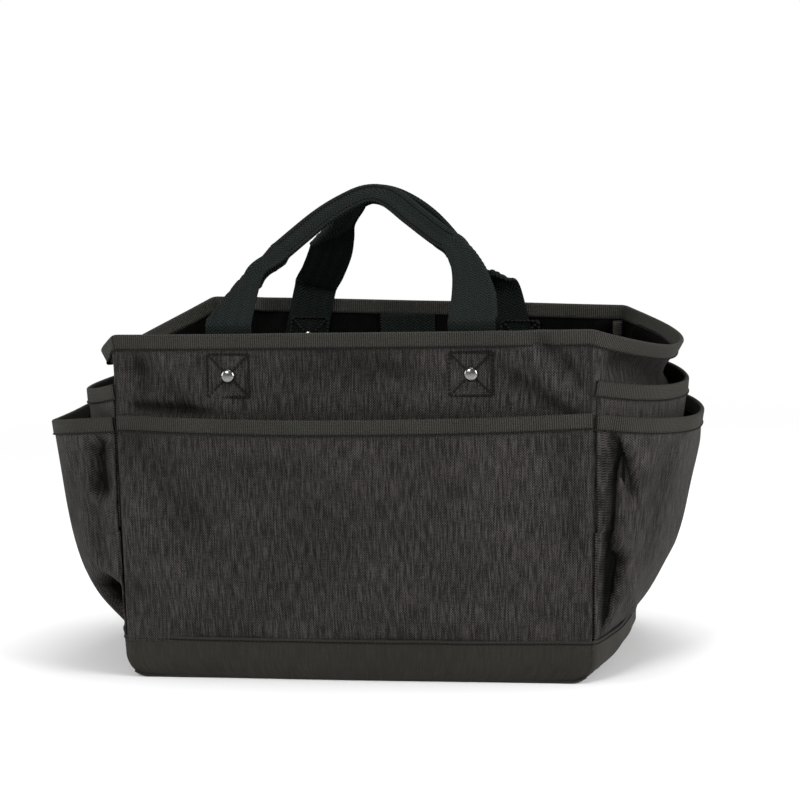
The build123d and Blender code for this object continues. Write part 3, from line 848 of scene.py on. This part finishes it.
# ---- handles
def smooth_line(points, count):
    """Catmull-Rom line through given points, evenly spaced."""
    points = np.array(points, float)
    padded = np.concatenate([[2 * points[0] - points[1]], points, [2 * points[-1] - points[-2]]])
    fine = []
    for k in range(1, len(padded) - 2):
        p0, p1, p2, p3 = padded[k - 1 : k + 3]
        for t in np.linspace(0, 1, 24, endpoint=False):
            a = 2 * p1 + (p2 - p0) * t + (2 * p0 - 5 * p1 + 4 * p2 - p3) * t**2
            fine.append((a + (3 * p1 - p0 - 3 * p2 + p3) * t**3) / 2)
    fine = np.array(fine + [points[-1]])
    run = run_along(fine)
    even = np.linspace(0, run[-1], count)
    return np.stack([np.interp(even, run, fine[:, k]) for k in range(fine.shape[1])], 1), even


HANDLE_TOP = HANDLE_HIGH[2] - 0.001
HANDLE_MEET = 0.006  # each grip stops this far from the middle plane
GRIP_WIDTH = 0.0205
FOLD_GAP = 0.0027  # between the strap's two layers, middle to middle
LEG_INSIDE = RIVET_X - WEBBING / 2
GRIP_ROW_INSET = 0.0035
GRIP_ROWS_FROM = 0.085  # the grip's stitches start at this length above the bend

# Each leg, left then right: its inner edge as (from the middle, up the handle), then the width that shows
# at four lengths above the bend at the rim.
HANDLE_LEGS = {
    "front": (
        (
            [(LEG_INSIDE, 0), (0.081, 0.030), (0.080, 0.050), (0.076, 0.060), (0.065, 0.071), (0.033, 0.113)],
            ([0.004, 0.052, 0.064, 0.085], [WEBBING, 0.0165, 0.0160, GRIP_WIDTH]),
        ),
        (
            [(LEG_INSIDE, 0), (0.081, 0.030), (0.078, 0.056), (0.070, 0.078), (0.056, 0.089), (0.031, 0.113)],
            ([0.004, 0.030, 0.078, 0.100], [WEBBING, 0.034, 0.0190, GRIP_WIDTH]),
        ),
    ),
    "rear": (
        (
            [(0.066, 0.0), (0.055, 0.022), (0.041, 0.055), (0.034, 0.080), (0.029, 0.102), (0.018, 0.122)],
            ([0.010, 0.070, 0.090, 0.110], [WEBBING, WEBBING, 0.030, GRIP_WIDTH]),
        ),
        (
            [(0.066, 0.0), (0.052, 0.020), (0.047, 0.040), (0.045, 0.060), (0.040, 0.082), (0.027, 0.113)],
            ([0.002, 0.025, 0.066, 0.090], [WEBBING, 0.034, 0.0205, GRIP_WIDTH]),
        ),
    ),
}


def handle_route(legs, length):
    """The strap's inner edge in its own plane: from its left tail, over the top, to its right tail."""
    foot = TAIL_FOOT - PIVOT_Z
    sides = []
    for points, _ in legs:
        tail = [(LEG_INSIDE, foot), ((LEG_INSIDE + points[0][0]) / 2, foot / 2)]
        sides.append(tail + points + [(0.012, length - 0.0265)])
    left = [(-x, h) for x, h in sides[0]]
    return left + [(0.0, length - GRIP_WIDTH - 0.0005)] + sides[1][::-1]


def handle_piece(name, facing, legs):
    """One webbing handle, tail to tail. facing is -1 for the front handle, 1 for the rear one.

    The strap's inner edge is its route. Above the rim its outer part turns under, until the grip is double.
    """
    lean = math.atan2(PIVOT_Y - HANDLE_MEET, HANDLE_TOP - PIVOT_Z)
    length = math.hypot(PIVOT_Y - HANDLE_MEET, HANDLE_TOP - PIVOT_Z)
    flat, run = smooth_line(handle_route(legs, length), 300)
    tangent = np.gradient(flat, axis=0)
    tangent /= np.linalg.norm(tangent, axis=1, keepdims=True)
    outward = np.stack([-tangent[:, 1], tangent[:, 0]], 1)
    height = flat[:, 1]
    apex = run[np.argmax(height)]
    above = np.minimum(run, run[-1] - run) + TAIL_FOOT - PIVOT_Z
    shown = np.where(run < apex, np.interp(above, *legs[0][1]), np.interp(above, *legs[1][1]))
    bend = np.clip(height / 0.010 + 0.5, 0, 1)
    slope = lean * ease(bend)
    raised = np.maximum(height, 0.0)
    depth = facing * (PIVOT_Y - raised * math.sin(lean))
    centre = np.stack([flat[:, 0], depth, PIVOT_Z + np.minimum(height, 0) + raised * math.cos(lean)], 1)
    up = np.stack([np.zeros_like(slope), -facing * np.sin(slope), np.cos(slope)], 1)
    face = np.stack([np.zeros_like(slope), facing * np.cos(slope), np.sin(slope)], 1)
    across = outward[:, :1] * np.array([[1.0, 0, 0]]) + outward[:, 1:] * up
    spread = np.linspace(0, WEBBING, 49)[::facing]
    rows = []
    for v in spread:
        under = np.maximum(v - shown, 0)
        sideways = np.where(v <= shown, v, np.maximum(2 * shown - v, 0.0))
        behind = FOLD_GAP * (1 - np.exp(-under / 0.0008))
        rows.append(centre + across * sideways[:, None] - face * behind[:, None])
    points = np.stack(rows, 1)
    cloth = np.stack(np.broadcast_arrays(run[:, None], spread[None, :]), -1)
    piece = thick_sheet(name, settle_handle(points, facing), cloth, WEBBING_THICK)
    on = above > GRIP_ROWS_FROM
    seams = []
    for inset in (GRIP_ROW_INSET, GRIP_WIDTH - GRIP_ROW_INSET):
        seam = centre[on] + across[on] * inset + face[on] * (WEBBING_THICK + 0.0002)
        seams.append(stitch_run("grip_row", settle_handle(seam, facing), face[on]))
    return piece, join(name + "_stitches", seams)


def settle_handle(points, facing):
    """The rear handle follows the sag of the back rim."""
    points = points.copy()
    if facing > 0:
        points[..., 2] += back_rim_drop(points[..., 0]) * 0.8
    return points


def build_handles():
    for name, prefix, facing in (("front", "front", -1), ("rear", "back", 1)):
        body = name + "_handle"
        strap, stitches = handle_piece(body + "_webbing", facing, HANDLE_LEGS[name])
        finish_piece(strap, STRAP, None, [prefix + "_handle_tails", prefix + "_handle_strap"])
        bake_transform(strap)
        finish_thread(stitches, body)


# ---- rivets and box stitches
BOX_HALF = 0.0175
CROSS_GAP = 0.0046  # the cross stops this far from the rivet's middle, each way
BOX_THREAD = 1.9  # thickness of the box's thread, as a share of a seam's
RIVET_BACK_PROFILE = [
    (0.0014, 0.003),
    (0.0046, 0.0),
    (0.0052, -0.0006),
    (0.0046, -0.0012),
    (0.0018, -0.0015),
    (0.0012, -0.0009),
]


def wall_spot(side, x, z):
    """Point, two directions along the wall, and outward normal on the front or back wall."""
    anticlockwise = 1 if side == FRONT else -1

    def at(px, pz):
        along = np.array([[anticlockwise * px / half_width(pz)]])
        return settle(body_wall(side, along, np.array([[pz]])))[0, 0]

    spot = at(x, z)
    across = at(x + 0.002, z) - at(x - 0.002, z)
    up = at(x, z + 0.002) - at(x, z - 0.002)
    across /= np.linalg.norm(across)
    up /= np.linalg.norm(up)
    normal = np.cross(across, up)
    if (normal[1] > 0) != (side == BACK):
        normal = -normal
    return spot, across, up, normal


def lathe(name, profile, origin, axis, turns=40):
    """A turned piece: profile of (radius, height) along axis."""
    axis = axis / np.linalg.norm(axis)
    side = np.cross(axis, [0, 0, 1.0])
    side /= np.linalg.norm(side)
    other = np.cross(axis, side)
    points, faces = [], []
    for radius, height in profile:
        for turn in np.linspace(0, math.tau, turns, endpoint=False):
            points.append(origin + axis * height + (side * math.cos(turn) + other * math.sin(turn)) * radius)
    for k in range(len(profile) - 1):
        for j in range(turns):
            a, b = k * turns, (k + 1) * turns
            faces.append([a + j, a + (j + 1) % turns, b + (j + 1) % turns, b + j])
    faces.append(list(reversed(range(turns))))
    faces.append([(len(profile) - 1) * turns + j for j in range(turns)])
    return new_mesh(name, np.array(points), faces)


def cap_profile():
    """A domed cap with a rolled rim, on its post."""
    roll, dome_height = 0.0006, 0.0026
    profile = [(0.0012, -0.004), (0.0015, 0.0)]
    for turn in np.linspace(0, 1.8, 5):
        profile.append((RIVET_R - roll + roll * math.sin(turn), roll - roll * math.cos(turn)))
    for turn in np.linspace(0.12, 1, 9) * math.pi / 2:
        profile.append(((RIVET_R - 0.0004) * math.cos(turn), 0.0010 + dome_height * math.sin(turn)))
    profile[-1] = (0.0002, profile[-1][1])
    return profile


def strap_inner_y(y, proud):
    """The inner face of a strap's tail on the wall at y, with what stands `proud` of it."""
    return math.copysign(PIVOT_Y - WEBBING_THICK / 2 - proud, y)


def boxed_cross(side, x):
    """Rows of thread of one boxed cross, on the outer and the inner face. The cross stops at the rivet."""
    half, gap = BOX_HALF, CROSS_GAP
    corners = [(-half, -half), (half, -half), (half, half), (-half, half)]
    lines = [(corners[k], corners[(k + 1) % 4]) for k in range(4)]
    lines += [(corners[0], (-gap, -gap)), ((gap, gap), corners[2])]
    lines += [(corners[3], (-gap, gap)), ((gap, -gap), corners[1])]
    rows = []
    for start, end in lines:
        steps = np.linspace(0, 1, 14)[:, None]
        flat = np.array(start) * (1 - steps) + np.array(end) * steps
        spots = [wall_spot(side, x + u, RIVET_Z + v) for u, v in flat]
        normals = np.array([spot[3] for spot in spots])
        outer = np.array([spot[0] for spot in spots]) + normals * 0.0006
        inner = outer.copy()
        inner[:, 1] = strap_inner_y(outer[0, 1], 0.0003)
        rows.append(stitch_run("row", outer, normals, BOX_THREAD))
        rows.append(stitch_run("row", inner, -normals, BOX_THREAD))
    return rows


def build_fixings():
    for prefix, side in (("front", FRONT), ("back", BACK)):
        caps, backs, rows = [], [], []
        for x in (-RIVET_X, RIVET_X):
            spot, _, _, normal = wall_spot(side, x, RIVET_Z)
            caps.append(lathe("cap", cap_profile(), spot + normal * 0.0008, normal))
            inner = spot.copy()
            inner[1] = strap_inner_y(spot[1], 0.0002)
            backs.append(lathe("back", RIVET_BACK_PROFILE, inner, normal))
            rows += boxed_cross(side, x)
        for pieces, ending, material, node, slot in (
            (caps, "_rivet_cap_pair", NICKEL, "_rivet_caps", "nickel"),
            (backs, "_rivet_back_pair", NICKEL, "_rivet_backs", "nickel"),
            (rows, "_boxed_crosses", THREAD_BLACK, "_box_stitches", "thread"),
        ):
            finish_piece(join(prefix + ending, pieces), material, "bag", [prefix + node])


# ---- inside
HEM_HEIGHT = 0.016
SEAM_FIN = 0.008  # how far a seam allowance's binding starts inside its corner


def build_inner_strap():
    """Wide strap that hangs inside the back panel, its foot turned up and hemmed."""
    low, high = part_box("inner_strap")
    anchor_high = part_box("inner_strap_anchor")[1]
    y = anchor_high[1] - 0.0009
    drop = np.linspace(anchor_high[2], low[2], 60)
    turn_up = np.linspace(0, math.pi, 7)[1:]
    path = [(y - 0.0006 * math.sin(k * 0.11), z) for k, z in enumerate(drop)]
    foot = path[-1][0] - 0.0012
    path += [(foot + 0.0012 * math.cos(a), low[2] - 0.0008 * math.sin(a)) for a in turn_up]
    path += [(path[-1][0], z) for z in np.linspace(low[2], low[2] + HEM_HEIGHT, 10)[1:]]
    path = np.array(path)
    across = np.linspace(low[0], high[0], 30)
    points = np.zeros((len(path), len(across), 3))
    points[..., 0] = across[None, :]
    points[..., 1:] = path[:, None]
    cloth = np.stack(np.broadcast_arrays(run_along(path)[:, None], across[None, :]), -1)
    strap = thick_sheet("hanging_webbing", points, cloth, 0.0016)
    finish_piece(strap, STRAP, None, ["inner_strap", "inner_strap_anchor"])
    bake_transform(strap)
    hem = np.zeros((20, 3))
    hem[:, 0] = np.linspace(low[0] + 0.003, high[0] - 0.003, 20)
    hem[:, 1] = y - 0.0042
    hem[:, 2] = low[2] + HEM_HEIGHT - 0.004
    row = stitch_run("hanging_webbing_stitches", hem, np.tile([0, -1.0, 0], (20, 1)))
    finish_thread(row, "hanging_strap")


def build_corner_seams():
    """Bound seam allowances that stand inside the four corners."""
    low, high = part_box("front_corner_seam_tapes")
    heights = np.linspace(low[2], high[2], 60)
    section = tape_section(TAPE, TAPE, 0.0075)
    for prefix, front in (("front", -1), ("back", 1)):
        fins = []
        for right in (-1, 1):
            root_x = right * (half_width(heights) - 0.0028)
            root_y = front * (half_depth(heights) - 0.0036)
            root = np.stack([root_x, root_y, heights], 1)
            inwards = np.tile([-right * 0.67, -front * 0.74, 0.0], (60, 1))
            across = np.cross(inwards, [0, 0, 1.0])
            sway = 0.0006 * np.sin(heights * 70 + right)
            path = root + inwards * SEAM_FIN + across * sway[:, None]
            fins.append(sweep("fin", settle(path), across, inwards, section))
        piece = join(prefix + "_corner_seams", fins)
        finish_piece(piece, TAPE_CLOTH, "bag", [prefix + "_corner_seam_tapes"])


def build_board():
    board = frame["nodes"]["base_board"]
    board.data.materials.clear()
    board.data.materials.append(BOARD)


# ---- stage
CAMERA_TURN = 11.22
CAMERA_TILT = 8.18
CAMERA_ROLL = -1.95
CAMERA_AWAY = 2.063
CAMERA_AIM_X = 0.01486
CAMERA_AIM_Z = 0.2154
CAMERA_LENS = 108  # millimetres, on a 36 mm sensor
SKY_LIGHT = 0.35  # seen by the object; the camera sees white
FLOOR_HALF = 30
PAPER_TO = 0.45  # the floor is paper up to here, and plain white from WHITE_FROM on
WHITE_FROM = 1.6
LAMP_AIM = (0, 0, 0.2)

# Name, place, size and power.
LAMPS = [
    ("key", (-0.8, -1.9, 1.6), 0.9, 28),
    ("fill", (1.95, -0.6, 0.9), 1.2, 48),
    ("left_fill", (-2.0, -0.45, 0.7), 1.0, 18),
    ("top", (0.1, 0.3, 2.2), 1.4, 34),
]


def build_floor():
    corners = [(x * FLOOR_HALF, y * FLOOR_HALF, 0) for x, y in ((-1, -1), (1, -1), (1, 1), (-1, 1))]
    floor = bpy.data.meshes.new("floor")
    floor.from_pydata(corners, [], [(0, 1, 2, 3)])
    piece = bpy.data.objects.new("floor", floor)
    bpy.context.collection.objects.link(piece)
    n = Nodes("floor_paper")
    where, mottle = n.object_noise(3)
    paper = n.ramp(mottle, [(0.3, (0.86, 0.86, 0.86)), (0.7, (0.88, 0.88, 0.88))])
    n.link(paper, n.shader.inputs["Base Color"])
    n.shader.inputs["Roughness"].default_value = 0.9
    distance = n.add("ShaderNodeVectorMath", operation="LENGTH")
    n.link(where, distance.inputs[0])
    far = n.add("ShaderNodeMapRange", interpolation_type="SMOOTHSTEP")
    far.inputs["From Min"].default_value = PAPER_TO
    far.inputs["From Max"].default_value = WHITE_FROM
    n.link(distance.outputs["Value"], far.inputs["Value"])
    glow = n.add("ShaderNodeEmission")
    mixed = n.add("ShaderNodeMixShader")
    n.link(far.outputs["Result"], mixed.inputs["Fac"])
    n.link(n.shader.outputs["BSDF"], mixed.inputs[1])
    n.link(glow.outputs["Emission"], mixed.inputs[2])
    n.link(mixed.outputs["Shader"], n.tree.nodes["Material Output"].inputs["Surface"])
    floor.materials.append(n.material)


def build_light():
    world = bpy.data.worlds.new("studio")
    world.use_nodes = True
    sky = world.node_tree.nodes["Background"]
    sky.inputs["Color"].default_value = (1, 1, 1, 1)
    rays = world.node_tree.nodes.new("ShaderNodeLightPath")
    strength = world.node_tree.nodes.new("ShaderNodeMapRange")
    strength.inputs["To Min"].default_value = SKY_LIGHT
    strength.inputs["To Max"].default_value = 1.0
    world.node_tree.links.new(rays.outputs["Is Camera Ray"], strength.inputs["Value"])
    world.node_tree.links.new(strength.outputs["Result"], sky.inputs["Strength"])
    bpy.context.scene.world = world
    for one in LAMPS:
        lamp(*one)


def build_camera():
    turn, tilt, roll = (math.radians(v) for v in (CAMERA_TURN, CAMERA_TILT, CAMERA_ROLL))
    away = Vector((math.sin(turn) * math.cos(tilt), -math.cos(turn) * math.cos(tilt), math.sin(tilt)))
    level = Vector((math.cos(turn), math.sin(turn), 0))
    above = away.cross(level)
    right = level * math.cos(roll) + above * math.sin(roll)
    up = above * math.cos(roll) - level * math.sin(roll)
    camera = bpy.data.objects.new("camera", bpy.data.cameras.new("camera"))
    place_at = level * CAMERA_AIM_X + Vector((0, 0, CAMERA_AIM_Z)) + away * CAMERA_AWAY
    camera.matrix_world = Matrix.Translation(place_at) @ Matrix((right, up, away)).transposed().to_4x4()
    camera.data.lens = CAMERA_LENS
    camera.data.sensor_width = 36
    bpy.context.collection.objects.link(camera)
    bpy.context.scene.camera = camera
    bpy.context.scene.view_settings.view_transform = "Standard"


def lamp(name, spot, size, power):
    light = bpy.data.lights.new(name, "AREA")
    light.size = size
    light.energy = power
    piece = bpy.data.objects.new(name, light)
    piece.location = spot
    piece.rotation_euler = (Vector(spot) - Vector(LAMP_AIM)).to_track_quat("Z", "Y").to_euler()
    bpy.context.collection.objects.link(piece)


build_body()
build_pockets()
build_foot()
build_base()
build_handles()
build_fixings()
build_inner_strap()
build_corner_seams()
build_board()
build_floor()
build_light()
build_camera()
